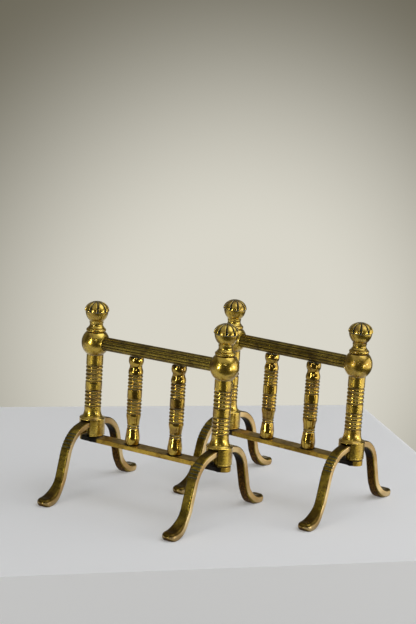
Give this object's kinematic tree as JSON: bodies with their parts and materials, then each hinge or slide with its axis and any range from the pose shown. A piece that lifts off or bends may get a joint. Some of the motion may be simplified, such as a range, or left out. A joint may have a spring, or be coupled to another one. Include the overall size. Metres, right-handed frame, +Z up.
{
  "type": "pair of andirons",
  "caption": "Low hearth stands: turned posts with petalled finials, a reeded rail over a flat bar, turned spindles and bent leg arches.",
  "frame": {"origin": "on the floor under the middle of the pair: the centre of the underside of its bounding box", "axes": "+Z up; +X along the rail of the left andiron, towards its front post; +Y along the legs of the left andiron, towards the right andiron, which stands further back and is turned 5 degrees clockwise from above"},
  "size_m": [0.2526, 0.2714, 0.1823],
  "materials": {
    "polished_brass": "polished and aged, with tarnish in the grooves",
    "drawn_brass": "drawn and polished, duller than the turned pieces",
    "cast_brass": "cast, polished outside and rough and dark on the inner faces",
    "dark_steel": "darkened with age"
  },
  "bodies": {
    "root": {"left_bottom_bar": "drawn_brass", "left_top_rail": "drawn_brass", "left_front_post": "polished_brass", "left_front_finial": "polished_brass", "left_front_finial_stud": "dark_steel", "left_front_leg_arch": "cast_brass", "left_front_post_screw": "dark_steel", "left_front_spindle": "polished_brass", "left_front_spindle_screw": "dark_steel", "left_rear_post": "polished_brass", "left_rear_finial": "polished_brass", "left_rear_finial_stud": "dark_steel", "left_rear_leg_arch": "cast_brass", "left_rear_post_screw": "dark_steel", "left_rear_spindle": "polished_brass", "left_rear_spindle_screw": "dark_steel", "right_bottom_bar": "drawn_brass", "right_top_rail": "drawn_brass", "right_front_post": "polished_brass", "right_front_finial": "polished_brass", "right_front_finial_stud": "dark_steel", "right_front_leg_arch": "cast_brass", "right_front_post_screw": "dark_steel", "right_front_spindle": "polished_brass", "right_front_spindle_screw": "dark_steel", "right_rear_post": "polished_brass", "right_rear_finial": "polished_brass", "right_rear_finial_stud": "dark_steel", "right_rear_leg_arch": "cast_brass", "right_rear_post_screw": "dark_steel", "right_rear_spindle": "polished_brass", "right_rear_spindle_screw": "dark_steel"}
  },
  "joints": []
}
